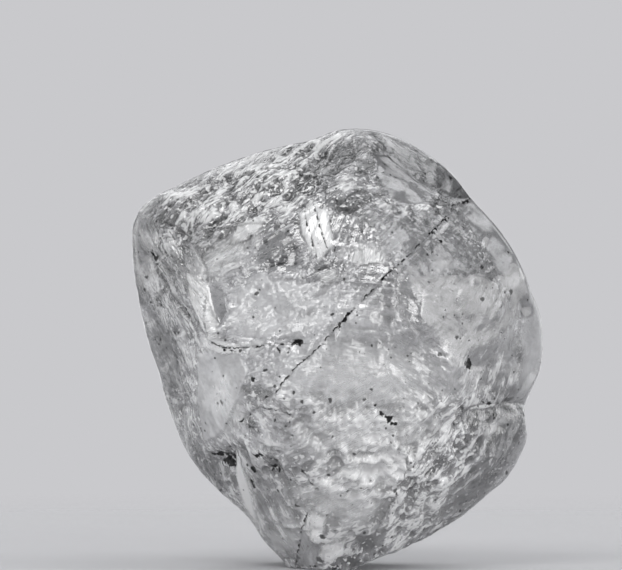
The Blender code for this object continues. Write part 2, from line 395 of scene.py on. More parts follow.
PATCHES: tuple[Patch, ...] = (
    Patch(-2.0, 4.0, 2.4, 0.65, 22, streak=0.7),  # streaky crown band
    Patch(0.7, -2.1, 1.9, 1.0, frost_and_highlight=0.85),
    Patch(0.2, -3.7, 1.5, 0.9, frost_and_highlight=0.75),
    Patch(0.5, 0.7, 1.1, 0.9, frost_and_highlight=0.4),
    Patch(3.4, 1.2, 1.6, 2.0, shade=0.45),  # greyer right face
    Patch(-4.3, 0.8, 0.8, 2.4, 8, shade=0.6),  # and left face
    Patch(-3.85, 1.8, 0.6, 0.9, shade=1.0, streak=0.4),
    Patch(2.3, -2.0, 0.6, 0.5, shade=0.5),
    # painted shade along the crown's top edge
    Patch(-1.8, 4.75, 1.0, 0.25, 15, shade=0.9),
    Patch(-0.9, -2.1, 0.6, 0.5, shade=0.5),
    Patch(-1.75, -3.0, 0.6, 0.5, shade=0.5),
    Patch(-0.8, -3.9, 0.6, 0.5, frost_and_highlight=0.3),
    Patch(-1.3, -4.8, 0.6, 0.5, frost_and_highlight=0.5),
    # painted shade low on the right rim
    Patch(4.2, -3.0, 0.5, 0.6, shade=0.8),
    Patch(1.2, 4.7, 1.5, 0.5, -15, shade=0.5),
    Patch(4.1, -0.8, 0.7, 0.7, shade=0.55, streak=0.5),
    # painted shade on the lobe
    Patch(4.3, -1.9, 0.8, 1.2, shade=1.0),
    Patch(0.9, 3.1, 1.0, 0.8, shade=0.3),
    Patch(-4.1, 2.3, 0.6, 0.6, shade=0.45),
    Patch(-1.8, -1.5, 0.8, 0.5, shade=0.35),
    Patch(1.5, -2.95, 0.5, 0.45, frost_and_highlight=1.0),
    Patch(-2.8, 2.2, 0.9, 0.45, 35, frost_and_highlight=0.7, streak=0.5),
    Patch(0.7, 2.3, 0.5, 0.28, 5, frost_and_highlight=0.6),
    Patch(-3.15, 0.9, 1.1, 0.16, -70, frost_and_highlight=0.9, streak=0.4),
    Patch(-3.05, 0.08, 0.25, 0.2, frost_and_highlight=1.0),
    Patch(-2.75, -1.3, 1.2, 0.5, -80, frost_and_highlight=0.7),
    Patch(-2.25, -3.6, 1.0, 0.16, -76, frost_and_highlight=0.9),
    Patch(0.9, -3.0, 1.1, 0.6, frost_and_highlight=0.6, streak=0.5),
    Patch(1.5, -3.0, 0.35, 0.3, frost_and_highlight=0.9),
    Patch(-0.5, -4.3, 0.5, 0.15, -85, frost_and_highlight=0.8),
    Patch(2.6, 2.0, 0.35, 0.25, frost_and_highlight=0.5),
    Patch(-4.5, 2.95, 0.35, 0.3, -40, shade=0.7),
    Patch(-3.4, 2.65, 0.7, 0.35, -20, shade=0.6),
    Patch(0.0, 4.8, 0.7, 0.3, 30, shade=0.6),
    # painted shade in the band inside the right rim
    Patch(2.4, 4.1, 1.4, 0.4, -42, shade=0.5),
    Patch(-3.0, -3.1, 0.7, 0.5, -40, shade=0.7),
    Patch(-1.85, -3.3, 1.0, 0.5, -68, shade=0.7),
    # painted shade along the lower right rim
    Patch(3.6, -3.6, 1.4, 0.5, 42, shade=0.9),
    Patch(2.3, -3.95, 0.75, 0.6, 30, frost_and_highlight=0.45, streak=0.6),  # sparkling ground, whitened as painted highlight
    Patch(3.7, -1.7, 0.5, 0.35, shade=0.7),
    Patch(0.4, -4.7, 1.0, 0.4, 15, shade=0.4),
    Patch(0.5, -0.9, 2.3, 1.2, -8, frost_and_highlight=0.7),  # pale middle
    Patch(0.9, -3.0, 1.5, 0.7, 10, streak=0.2, hackle=0.13),  # broken ground low on the front
    Patch(2.9, -2.5, 1.5, 0.6, 25, streak=0.5, hackle=0.04),
    Patch(3.7, -1.9, 0.9, 0.5, -10, streak=0.6, hackle=0.03),
    Patch(1.9, -3.8, 1.0, 0.7, 35, streak=0.4, hackle=0.08),
    Patch(0.3, -1.8, 2.4, 0.7, -10, hackle=0.06),
    Patch(-0.2, -4.6, 1.1, 0.8, -20, hackle=0.07),
    Patch(-2.2, -3.1, 0.9, 0.7, -40, hackle=0.06),
    Patch(-2.4, 3.2, 2.0, 0.6, 20, hackle=0.04),
    Patch(2.0, 3.4, 1.6, 0.8, -40, hackle=0.03),
    Patch(3.7, -0.6, 0.9, 0.7, -30, streak=0.3, hackle=0.03),
)


@dataclass(frozen=True)
class Chip:
    """A small flat break or facet of the front, as a convex outline of x, z corners in mm.

    Frost, with its painted highlight, shade, with its painted shade, and streak are as for a
    patch, calm smooths it, rise lifts it, and soft is how far its edge spreads, both in mm.
    """

    corners: Points
    frost_and_highlight: float = 0.0
    shade: float = 0.0
    streak: float = 0.0
    calm: float = 0.0
    rise: float = 0.0
    soft: float = 0.04

    def weight(self, x: np.ndarray, z: np.ndarray) -> np.ndarray:
        """Work out how strongly points belong to the chip.

        Args:
            x: how far right of the core.
            z: how far above it.

        Returns:
            1 inside and 0 outside, from the smallest distance to the lines of its sides. Corners
            run clockwise, so that inside is to the right of each side.
        """
        inside = np.full(len(x), FAR)
        for (x0, z0), (x1, z1) in zip(self.corners, self.corners[1:] + self.corners[:1]):
            right = (z1 - z0) * (x - x0) - (x1 - x0) * (z - z0)
            inside = np.minimum(inside, right / math.hypot(x1 - x0, z1 - z0))
        return smooth_step(inside, -self.soft, self.soft)


CHIPS: tuple[Chip, ...] = (
    Chip(  # bright window: a smooth facet that mirrors the key lamp, with painted highlight
        ((-0.88, 3.22), (-0.58, 3.48), (-0.20, 3.28), (-0.05, 2.50), (-0.42, 2.05), (-0.80, 2.68)),
        frost_and_highlight=0.9, streak=0.8, calm=0.7, rise=0.03,
    ),
    Chip(  # smooth patches under the crown and beside the main ridge
        ((-1.83, 2.63), (-1.25, 2.83), (-0.88, 2.38), (-0.95, 1.93), (-1.63, 1.83), (-1.93, 2.08)),
        shade=0.9, calm=0.45, rise=-0.02, soft=0.12,
    ),
    Chip(
        ((-3.20, 1.55), (-2.75, 1.38), (-2.58, 0.83), (-2.83, 0.43), (-3.08, 1.13)),
        shade=0.4, calm=1.0, rise=-0.03,
    ),
    Chip(  # white strip on the main ridge, and the bright spot where the ridges meet
        ((-3.63, 1.83), (-3.38, 1.63), (-2.85, 0.25), (-3.05, 0.00), (-3.30, 0.68), (-3.50, 1.20)),
        frost_and_highlight=0.8, streak=0.6, rise=0.04,
    ),
    Chip(
        ((-3.25, 0.00), (-3.00, 0.20), (-2.38, 0.00), (-2.30, -0.18), (-2.83, -0.18)),
        frost_and_highlight=1.0, calm=0.5, rise=0.03,
    ),
    Chip(  # smooth bright facet low on the left, partly painted highlight
        ((-3.38, -0.18), (-2.43, -0.18), (-2.13, -0.68), (-2.38, -1.25), (-2.73, -2.18),
         (-3.18, -2.33), (-3.40, -1.38)),
        frost_and_highlight=0.4, calm=0.6, rise=0.03,
    ),
    Chip(  # bright sliver with a dark side to its left and right
        ((-2.52, -2.63), (-2.38, -2.88), (-2.15, -3.63), (-1.98, -4.48), (-2.26, -4.00),
         (-2.47, -3.33)),
        frost_and_highlight=1.0, calm=1.0, rise=0.05,
    ),
    Chip(
        ((-3.58, -2.55), (-3.00, -2.50), (-2.52, -2.80), (-2.49, -3.60), (-2.83, -3.50)),
        shade=0.55, soft=0.1,
    ),
    Chip(
        ((-2.30, -2.75), (-1.83, -2.93), (-1.13, -4.00), (-0.80, -4.50), (-0.95, -5.43),
         (-1.63, -4.88), (-1.95, -4.00)),
        shade=0.2, calm=0.3, rise=-0.04, soft=0.1,
    ),
    Chip(  # bright flecks low on the left
        ((-1.68, -3.98), (-1.55, -4.02), (-1.40, -4.32), (-1.53, -4.30)), frost_and_highlight=1.0, rise=0.03,
    ),
    Chip(((-1.50, -4.42), (-1.38, -4.42), (-1.18, -4.78), (-1.28, -4.80)), frost_and_highlight=1.0, rise=0.03),
    Chip(((-1.32, -4.36), (-0.98, -4.42), (-0.95, -4.52), (-1.25, -4.48)), frost_and_highlight=0.9, rise=0.03),
    Chip(((-0.98, -4.38), (-0.72, -4.52), (-0.75, -4.60), (-0.95, -4.52)), frost_and_highlight=0.9, rise=0.03),
    Chip(  # bright and grey facets at the foot
        ((-0.68, -4.18), (-0.23, -4.18), (-0.33, -4.70), (-0.60, -4.73)), frost_and_highlight=1.0, rise=0.04,
    ),
    Chip(
        ((-0.33, -4.90), (0.25, -4.75), (0.20, -5.18), (-0.25, -5.38), (-0.40, -5.18)),
        frost_and_highlight=1.0, streak=0.3, rise=0.04,
    ),
    Chip(
        ((-0.83, -4.38), (-0.63, -4.75), (-0.38, -4.93), (-0.50, -5.43), (-0.93, -5.43)),
        shade=0.35, calm=1.0,
    ),
    Chip(((-0.55, -4.73), (0.08, -4.68), (0.08, -4.80), (-0.43, -4.85)), frost_and_highlight=1.0, rise=0.03),
    Chip(  # broken bright band low on the front: painted highlight where its fracture steps catch light
        ((-0.25, -3.33), (0.25, -2.93), (1.25, -2.45), (1.88, -2.58), (1.93, -2.93),
         (1.50, -3.33), (1.25, -3.63), (0.63, -3.40)),
        frost_and_highlight=0.95, streak=0.6, rise=0.03, soft=0.1,
    ),
    Chip(  # ledge over the lobe: painted shade on its underside, white flames and a white edge
        ((3.00, -1.50), (4.13, -1.38), (4.25, -1.88), (3.38, -2.00), (2.93, -1.83)),
        shade=0.85, streak=0.8,
    ),
    Chip(
        ((3.63, -2.13), (4.25, -1.68), (4.33, -1.88), (3.83, -2.38)),
        frost_and_highlight=0.7, streak=0.8, rise=0.02, soft=0.12,
    ),
    Chip(((2.58, -2.08), (2.95, -1.68), (3.00, -1.83), (2.73, -2.18)), frost_and_highlight=1.0, rise=0.03),
    Chip(((3.38, -1.53), (4.00, -1.43), (4.03, -1.53), (3.43, -1.63)), frost_and_highlight=1.0, rise=0.03),
    Chip(  # pale slivers at the notch and on the lobe
        ((4.50, -1.25), (4.83, -0.68), (5.03, -0.68), (4.83, -1.33), (4.58, -1.50)),
        frost_and_highlight=0.3, calm=1.0,
    ),
    Chip(((4.13, -3.33), (4.25, -3.08), (4.68, -2.75), (4.63, -2.95)), frost_and_highlight=0.6, calm=1.0),
    Chip(  # smooth facet high on the right, and the band of painted shade between it and the rim
        ((0.98, 4.85), (1.46, 4.80), (2.13, 4.13), (2.45, 3.78), (2.25, 3.50), (1.50, 3.50),
         (1.10, 4.13)),
        shade=0.15, calm=0.9, rise=-0.02,
    ),
    Chip(
        ((0.80, 5.36), (1.48, 5.22), (2.30, 4.80), (2.95, 4.20), (3.45, 3.65), (2.77, 3.55),
         (1.13, 4.96)),
        shade=0.85, calm=0.3, rise=-0.02, soft=0.08,
    ),
    Chip(  # dark facet at the top
        ((-0.70, 4.38), (-0.25, 4.88), (0.25, 5.13), (0.75, 4.93), (0.50, 4.50), (-0.13, 4.18)),
        shade=0.8, rise=-0.03,
    ),
    Chip(((-2.58, 2.50), (-2.38, 2.93), (-1.63, 3.18), (-1.93, 2.75)), frost_and_highlight=0.9, rise=0.04),
    Chip(  # rippled and plain bright facets beside the window
        ((0.30, 2.08), (0.43, 2.38), (0.93, 2.45), (1.13, 2.08), (0.75, 1.93)),
        frost_and_highlight=0.75, streak=1.2, rise=0.02, soft=0.1,
    ),
    Chip(
        ((-0.48, 1.83), (-0.08, 1.90), (0.12, 1.68), (-0.25, 1.53)),
        frost_and_highlight=0.8, streak=1.0, rise=0.02, soft=0.09,
    ),
    Chip(  # smooth pale middle
        ((-2.68, 0.58), (-2.38, 1.38), (-1.83, 1.78), (-0.13, 1.50), (0.00, 0.63), (-0.88, 0.18),
         (-2.38, 0.18)),
        frost_and_highlight=0.4, calm=0.45, rise=-0.02, soft=0.15,
    ),
    Chip(  # quiet parts of the front and of the right face
        ((-0.40, 0.80), (1.60, 1.20), (2.40, 0.20), (1.20, -1.40), (-1.60, -1.20), (-1.60, -0.20)),
        calm=0.35, soft=0.4,
    ),
    Chip(
        ((1.30, 3.20), (3.00, 3.00), (4.60, 0.80), (4.60, -0.90), (2.60, -1.10), (1.80, 1.20)),
        shade=0.15, calm=0.6, soft=0.4,
    ),
)


@dataclass(frozen=True)
class Speck(Oval):
    """A dark mineral speck at or just under the skin."""

    def edge(self, x: np.ndarray, z: np.ndarray) -> np.ndarray:
        """Return about how far points are outside its edge, in mm."""
        return (self.away(x, z) - 1) * self.short


SPECKS: tuple[Speck, ...] = (
    Speck(3.28, -0.44, 0.14, 0.11, -25),
    Speck(-2.82, -2.74, 0.16, 0.05, -30),
    Speck(-2.65, -2.93, 0.16, 0.10, -50),
    Speck(-0.93, 0.10, 0.13, 0.07, 0),
    Speck(1.32, -1.78, 0.10, 0.06, 10),
    Speck(1.12, -1.66, 0.05, 0.04, 0),
    Speck(1.44, -1.88, 0.05, 0.04, 0),
    Speck(-2.05, -3.05, 0.07, 0.07, 0),
    Speck(-2.08, -3.42, 0.10, 0.06, -70),
    Speck(-1.50, -3.06, 0.10, 0.05, -20),
    Speck(-1.85, -2.62, 0.09, 0.05, 0),
    Speck(-4.55, 2.22, 0.20, 0.05, -55),
    Speck(0.95, -1.45, 0.05, 0.04, 0),
    Speck(-1.08, 0.16, 0.05, 0.03, 0),
    Speck(3.85, -1.45, 0.14, 0.04, 10),
    Speck(-2.02, -0.85, 0.06, 0.05, -40),
    Speck(2.40, 2.80, 0.07, 0.05, 40),  # along the diagonal crack
    Speck(2.66, 3.06, 0.06, 0.03, 30),
    Speck(3.26, 3.58, 0.08, 0.04, 25),
    Speck(2.58, 2.58, 0.04, 0.03, 0),
    Speck(0.17, 0.61, 0.20, 0.03, 50),
    Speck(-2.72, -0.06, 0.10, 0.03, -20),  # along the cross crack
    Speck(-1.25, -0.05, 0.12, 0.02, 5),
)

# Lines of open cleavage, as x, z points in mm.
CRACKS: tuple[Points, ...] = (
    ((3.40, 3.65), (2.86, 3.40), (2.82, 3.25), (2.55, 2.96), (2.40, 2.83), (2.13, 2.56),
     (1.67, 2.10), (1.29, 1.77), (0.87, 1.33), (0.60, 1.07), (0.26, 0.72), (0.03, 0.45),
     (-0.15, 0.26), (-0.42, -0.04), (-0.75, -0.34), (-0.96, -0.50), (-1.15, -0.75),
     (-1.29, -0.90), (-1.42, -1.10), (-1.72, -1.26)),
    ((-3.00, 0.13), (-2.75, -0.02), (-2.30, -0.04), (-1.60, 0.06), (-0.83, 0.08)),
    ((-2.33, -1.83), (-1.98, -1.55), (-1.80, -1.47), (-1.56, -1.49), (-1.23, -1.56),
     (-1.05, -1.72)),
    ((-0.90, -2.95), (-0.60, -3.32), (-0.43, -3.50)),
    ((-0.70, -4.20), (-0.84, -4.62), (-0.88, -4.88), (-0.95, -5.45)),
    ((-0.74, 3.15), (-0.60, 2.70), (-0.46, 2.20)),  # across the bright window
    ((-0.50, 3.38), (-0.36, 2.90), (-0.20, 2.40)),
)


class Layer(NamedTuple):
    """One layer of noise, by its seed, the size of its features in mm, and its weight."""

    seed: int
    size: float
    weight: float


@dataclass
class CrystalSkin:
    """The crystal's outer surface, as one closed mesh laid out on a rounded cube."""

    cells: int = 128  # along each edge of the cube
    edge_crispness: float = 30.0  # the higher, the sharper are the edges between faces
    rim_crispness: float = 160.0  # and those between the faces and the rim band
    rim_depth: float = 5.75  # mm, half the rim band's depth
    rim_fullness: float = 6.0  # how squarely the rim band turns towards the back
    front_fade: float = 0.6  # mm from the middle plane to where the front's marks are full
    front_pull: float = 0.4  # how far the grid is drawn towards the front, where detail is densest
    etch_height: float = 0.07  # mm
    etch_least: float = 0.12  # share of it that shows away from streaks
    typical_radius: float = 4.3  # mm
    wander: float = 0.055  # mm that edges and faces stray from true planes
    polish_band: float = 0.13  # share of the outline's radius that is smooth inside it
    polish_full: float = 0.6  # share of the band that its inner edge leaves fully smooth
    polish_right: tuple[float, float] = (2.0, 3.4)  # mm right of the core, where it sets in
    polish_left: tuple[float, float] = (3.4, 4.2)  # mm left of it, less where it is higher
    polish_tilt: float = 0.25  # how much less
    polish_lobe: tuple[float, float] = (-1.6, -0.6)  # mm above the core, where it ends at the lobe
    left_polish: float = 0.6
    back_polish: float = 0.6
    rim_calm: float = 0.1  # share of the outline's radius over which the swellings die away
    strongest_streak: float = 1.4
    behind: float = 2.0  # mm added to the distances from specks and cracks on the back
    etch_layers: tuple[Layer, ...] = (
        Layer(11, 0.36, 0.7), Layer(12, 0.20, 1.0), Layer(13, 0.12, 0.7),
    )
    etch_drawn: tuple[float, float, float] = (4.0, 1.0, 2.0)  # along, across, out of the lines
    etch_level: float = 0.4  # taken off, so that the skin's middle stays in place
    hackle_layers: tuple[Layer, ...] = (
        Layer(31, 0.38, 1.0), Layer(32, 0.19, 0.8), Layer(33, 0.11, 0.5),
    )
    hackle_level: float = 0.4  # taken off in the same way
    stray_layers: tuple[Layer, ...] = (
        Layer(1, 0.9, 1.0), Layer(4, 0.42, 0.7), Layer(7, 0.21, 0.4), Layer(10, 0.13, 0.2),
    )
    stray_calm: float = 0.8  # how much polish keeps faces true
    outline: Points = OUTLINE
    faces: tuple[Face, ...] = FACES

    def side_ways(self, side: CubeSide) -> np.ndarray:
        """Lay out unit directions over one side of the cube.

        Args:
            side: which side.

        Returns:
            A grid of directions. Both grid coordinates run over 90 degrees in equal angles, so
            a direction is (1, tan s, tan t) put on the side's axes and brought to length 1.
        """
        axis, sign = side.value
        tangent = np.tan(np.linspace(-math.pi / 4, math.pi / 4, self.cells + 1))
        s, t = np.meshgrid(tangent * sign, tangent, indexing="ij")
        ways = np.empty(s.shape + (3,))
        ways[..., axis] = sign
        ways[..., (axis + 1) % 3] = s
        ways[..., (axis + 2) % 3] = t
        return ways / np.linalg.norm(ways, axis=-1, keepdims=True)

    def layout(self) -> tuple[np.ndarray, np.ndarray]:
        """Join the six sides into one closed grid.

        Returns:
            Unit directions, one a vertex, and quads of vertex numbers facing outwards.
        """
        rows = np.arange(self.cells * (self.cells + 1)).reshape(self.cells, self.cells + 1)
        first = rows[:, :-1].ravel()
        step = self.cells + 1
        quad = np.stack([first, first + step, first + step + 1, first + 1], axis=1)
        ways = np.concatenate([self.side_ways(side).reshape(-1, 3) for side in CubeSide])
        quads = np.concatenate([quad + k * step * step for k in range(len(CubeSide))])
        _, kept, index = np.unique(
            np.round(ways, 7), axis=0, return_index=True, return_inverse=True
        )
        ways = ways[kept] - [0, self.front_pull, 0]
        return ways / np.linalg.norm(ways, axis=1, keepdims=True), index.reshape(-1)[quads]

    def outline_radius(self, angle: np.ndarray) -> np.ndarray:
        """Work out the distance from the core to the outline in the front view.

        Args:
            angle: angles up from the right, in radians.

        Returns:
            A cubic in the angle between the two outline points on either side. Its slope at a
            point is the harmonic mean of the slopes before and after it, or 0 at a peak or a dip,
            so that the outline is smooth and never overshoots.
        """
        x, z = np.array(self.outline).T
        at = np.arctan2(z, x)
        order = np.argsort(at)
        at, out = at[order], np.hypot(x, z)[order]
        at = np.concatenate([at[-2:] - 2 * math.pi, at, at[:2] + 2 * math.pi])
        out = np.concatenate([out[-2:], out, out[:2]])
        slopes = np.diff(out) / np.diff(at)
        before, after = slopes[:-1], slopes[1:]
        turns = before * after <= 0
        lean = np.where(turns, 0, 2 * before * after / np.where(turns, 1, before + after))
        k = np.clip(np.searchsorted(at, angle) - 1, 1, len(at) - 3)
        wide = at[k + 1] - at[k]
        t = (angle - at[k]) / wide
        rise = t * t * (3 - 2 * t)
        bend = lean[k - 1] * t * (1 - t) ** 2 - lean[k] * t * t * (1 - t)
        return out[k] * (1 - rise) + out[k + 1] * rise + bend * wide

    def reach(self, ways: np.ndarray) -> np.ndarray:
        """Work out how near each face comes in each direction.

        Args:
            ways: unit directions.

        Returns:
            One row a direction and one column a face: the cosine to the face's normal over the
            face's distance, 0 where the face points away.
        """
        normals = np.array([face.normal() / face.distance for face in self.faces])
        return np.clip(ways @ normals.T, 0, None)

    def radius(self, ways: np.ndarray, reach: np.ndarray) -> np.ndarray:
        """Work out the distance from the core to the skin, before relief.

        Args:
            ways: unit directions.
            reach: what reach() gives for them.

        Returns:
            One over the high-power mean of the faces' reach and of the rim band's, which softens
            the edges a little.
        """
        met = (reach**self.edge_crispness).sum(axis=1) ** (1 / self.edge_crispness)
        flat = np.hypot(ways[:, 0], ways[:, 2])
        rim = flat / self.outline_radius(np.arctan2(ways[:, 2], ways[:, 0]))
        deep = np.abs(ways[:, 1]) / self.rim_depth
        rim = (rim**self.rim_fullness + deep**self.rim_fullness) ** (1 / self.rim_fullness)
        power = self.rim_crispness
        return 1 / (met**power + rim**power) ** (1 / power)

    def front_share(self, points: np.ndarray) -> np.ndarray:
        """Return 1 on the front, falling smoothly to 0 at the middle plane."""
        return smooth_step(-points[:, 1], 0.0, self.front_fade)

    def rim_share(self, points: np.ndarray) -> np.ndarray:
        """Return how far out points are in the front view, as a share of the outline's radius."""
        x, _, z = points.T
        return np.hypot(x, z) / self.outline_radius(np.arctan2(z, x))

    def relief(self, points: np.ndarray) -> np.ndarray:
        """Work out how far each skin point sinks.

        Args:
            points: skin points from the core, in mm.

        Returns:
            The sum of creases and pits on the front and of swellings all over, less the rise of
            the chips.
        """
        x, _, z = points.T
        front = self.front_share(points)
        sunk = np.zeros(len(points))
        for hollow in CREASES + PITS:
            sunk += front * hollow.sunk(x, z)
        for chip in CHIPS:
            sunk -= chip.rise * front * chip.weight(x, z)
        inside = np.clip((1 - self.rim_share(points)) / self.rim_calm, 0, 1)
        for wave in WAVES:
            sunk += inside * wave.sunk(points)
        return sunk

    def etched(self, grain: np.ndarray, streak: np.ndarray) -> np.ndarray:
        """Work out how far the etch lines lift the skin.

        Args:
            grain: each point's place along, across and out of its face's lines, in mm.
            streak: how strongly the lines show at each point.

        Returns:
            The mean of ridged noise, 1 - 2|n|, in layers drawn out along the lines, less a level
            that keeps the skin's middle in place.
        """
        total = np.zeros(len(grain))
        for seed, size, weight in self.etch_layers:
            stretched = grain / (size * np.array(self.etch_drawn))
            total += weight * (1 - 2 * np.abs(lattice_noise(stretched, seed)))
        mean = total / sum(layer.weight for layer in self.etch_layers)
        return self.etch_height * streak * (mean - self.etch_level)

    def hackled(self, points: np.ndarray) -> np.ndarray:
        """Work out how far broken ground lifts the skin.

        Args:
            points: skin points from the core, in mm.

        Returns:
            The sum of ridged noise, 1 - 2|n|, in layers, each less a level, within the patches
            that have hackle.
        """
        x, _, z = points.T
        depth = np.zeros(len(points))
        for patch in PATCHES:
            depth = np.maximum(depth, patch.hackle * patch.weight(x, z))
        rough = np.zeros(len(points))
        for seed, size, weight in self.hackle_layers:
            ridges = 1 - 2 * np.abs(lattice_noise(points / size, seed))
            rough += weight * (ridges - self.hackle_level)
        return depth * self.front_share(points) * rough

    def strayed(self, ways: np.ndarray, calm: np.ndarray) -> np.ndarray:
        """Bend directions a little, so that faces undulate and their edges wander.

        Args:
            ways: unit directions.
            calm: 0 to 1, where they stay true.

        Returns:
            The directions plus layers of smooth noise in each axis.
        """
        place = ways * self.typical_radius
        drift = np.zeros_like(ways)
        for seed, size, weight in self.stray_layers:
            for axis in range(3):
                drift[:, axis] += weight * lattice_noise(place / size, seed + axis)
        return ways + drift * (1 - calm)[:, None] * (self.wander / self.typical_radius)

    def polish(self, points: np.ndarray) -> np.ndarray:
        """Work out how glassy the skin is.

        Args:
            points: skin points from the core, in mm.

        Returns:
            0 to 1: a band inside the outline, which is glassiest on the right, lesser on the
            left, and stops above the lobe; the calm chips; and a lesser gloss on the back.
        """
        x, _, z = points.T
        front = self.front_share(points)
        rim_share = self.rim_share(points)
        left = self.left_polish * smooth_step(-x - self.polish_tilt * z, *self.polish_left)
        full = 1 - self.polish_full * self.polish_band
        band = smooth_step(rim_share, 1 - self.polish_band, full)
        band *= np.maximum(smooth_step(x, *self.polish_right), left)
        band *= smooth_step(z, *self.polish_lobe)
        band = np.maximum(band, self.back_polish * (1 - front))
        for chip in CHIPS:
            band = np.maximum(band, chip.calm * front * chip.weight(x, z))
        return band

    def build(self) -> bpy.types.Object:
        """Build the skin.

        Returns:
            The object. Its mesh carries what marks() gives as attributes, and crest, how far
            etching and broken ground lift each point, as a multiple of the etch height. Points
            that would lie below the foot are drawn towards the core until they lie on it.
        """
        ways, quads = self.layout()
        plain = ways * self.radius(ways, self.reach(ways))[:, None]
        reach = self.reach(self.strayed(ways, self.stray_calm * self.polish(plain)))
        points = ways * self.radius(ways, reach)[:, None]
        marks = self.marks(points, reach)
        unpolished = 1 - marks["polish"]
        crest = self.etched(marks["grain"], marks["streak"] + self.etch_least * unpolished)
        crest += self.hackled(points) * unpolished
        marks["crest"] = crest / self.etch_height
        points = points + ways * (crest - self.relief(points))[:, None]
        foot = np.where(points[:, 2] < -CORE[2], -CORE[2] / np.minimum(points[:, 2], -1e-9), 1.0)
        points = (points * foot[:, None] + CORE) * MM
        mesh = bpy.data.meshes.new("crystal_skin")
        mesh.from_pydata(points, [], quads.tolist())
        mesh.shade_smooth()
        for name, values in marks.items():
            wide = values.ndim == 2
            layer = mesh.attributes.new(name, "FLOAT_VECTOR" if wide else "FLOAT", "POINT")
            layer.data.foreach_set("vector" if wide else "value", values.ravel())
        skin = bpy.data.objects.new("crystal_skin", mesh)
        bpy.context.scene.collection.objects.link(skin)
        return skin

    def dress(self, skin: bpy.types.Object, finish: "RoughDiamond") -> None:
        """Give the skin its finish and its place in the frame.

        Args:
            skin: what build() gives.
            finish: the material's maker.
        """
        skin.data.materials.append(finish.material())
        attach(skin, "root")
        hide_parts("rough_diamond")
        log.info("%s: %d faces, %s", skin.name, len(skin.data.polygons), finish.name)

    def marks(self, points: np.ndarray, reach: np.ndarray) -> dict[str, np.ndarray]:
        """Work out what the finish reads at each vertex.

        Args:
            points: skin points from the core, in mm.
            reach: what reach() gives for their directions.

        Returns:
            grain, the place in mm along, across and out of the nearest face's etch lines; streak,
            how strongly they show; frost, which whitens partly as frost and partly as painted
            highlight, shade, which darkens partly as grey tone and partly as painted shade, and
            polish,
            0 to 1; speck, the distance in mm to the nearest speck's edge; and crack, that to the
            nearest crack, which is negative on one side of it.
        """
        nearest = reach.argmax(axis=1)
        axes = np.array([face.etch_axes() for face in self.faces])[nearest]
        grain = np.einsum("nij,nj->ni", axes, points)
        share = reach**self.edge_crispness
        share /= share.sum(axis=1, keepdims=True)
        streak = share @ np.array([face.streak for face in self.faces])
        x, _, z = points.T
        front = self.front_share(points)
        # frost takes in painted highlight, and shade painted shade, from the patches and chips
        frost_and_highlight, shade = np.zeros(len(points)), np.zeros(len(points))
        for patch in PATCHES + CHIPS:
            weight = front * patch.weight(x, z)
            frost_and_highlight = np.maximum(frost_and_highlight, patch.frost_and_highlight * weight)
            shade = np.maximum(shade, patch.shade * weight)
            streak = streak + patch.streak * weight
        polish = self.polish(points)
        streak *= 1 - polish
        behind = (1 - front) * self.behind
        speck = np.full(len(points), FAR)
        for dot in SPECKS:
            speck = np.minimum(speck, dot.edge(x, z))
        crack = np.full(len(points), FAR)
        for line in CRACKS:
            for start, end in zip(line[:-1], line[1:]):
                part = Stretch(*start, *end)
                away = part.away(x, z)
                crack = np.where(away < np.abs(crack), part.side(x, z) * away, crack)
        return {
            "grain": grain,
            "streak": np.clip(streak, 0, self.strongest_streak),
            "frost_and_highlight": frost_and_highlight,
            "shade": shade,
            "polish": polish,
            "speck": speck + behind,
            "crack": crack + np.copysign(behind, crack),
        }


class NodeBench:
    """A node tree, emptied, with one way to add a node."""

    def __init__(self, tree: bpy.types.NodeTree) -> None:
        """Take a tree and remove the nodes that it starts with."""
        self.tree = tree
        tree.nodes.clear()

    def add(
        self, kind: str, *values: Value, out: int | str = 0,
        inputs: dict[int | str, Value] | None = None, **settings: str | bool,
    ) -> Socket | None:
        """Add a node with its settings and links.

        Args:
            kind: the node's type name after "ShaderNode".
            values: what its first inputs take in turn, each a socket to link or a constant.
            out: the output to hand back, by name or number.
            inputs: what further inputs take, by name or number.
            settings: the node's own attributes.

        Returns:
            That output's socket, or None from a node that has none.
        """
        node = self.tree.nodes.new("ShaderNode" + kind)
        for name, setting in settings.items():
            setattr(node, name, setting)
        for key, value in [*enumerate(values), *(inputs or {}).items()]:
            if isinstance(value, Socket):
                self.tree.links.new(value, node.inputs[key])
            else:
                node.inputs[key].default_value = value
        return node.outputs[out] if node.outputs else None


class Ramp(NamedTuple):
    """A straight map, clamped at its ends: low becomes start and high becomes end."""

    low: float
    high: float
    start: float = 0.0
    end: float = 1.0


@dataclass(frozen=True)
class Grit:
    """A noise pattern, by its features a millimetre and its finer layers."""

    per_mm: float
    detail: float
    roughness: float


@dataclass(frozen=True)
class Strewn:
    """Small specks, one in the middle of some cells.

    Spacing is the cells' size in mm. Least and most are the specks' radii as shares of it, and a
    cell whose radius is below 0 stays empty.
    """

    spacing: float
    least: float
    most: float


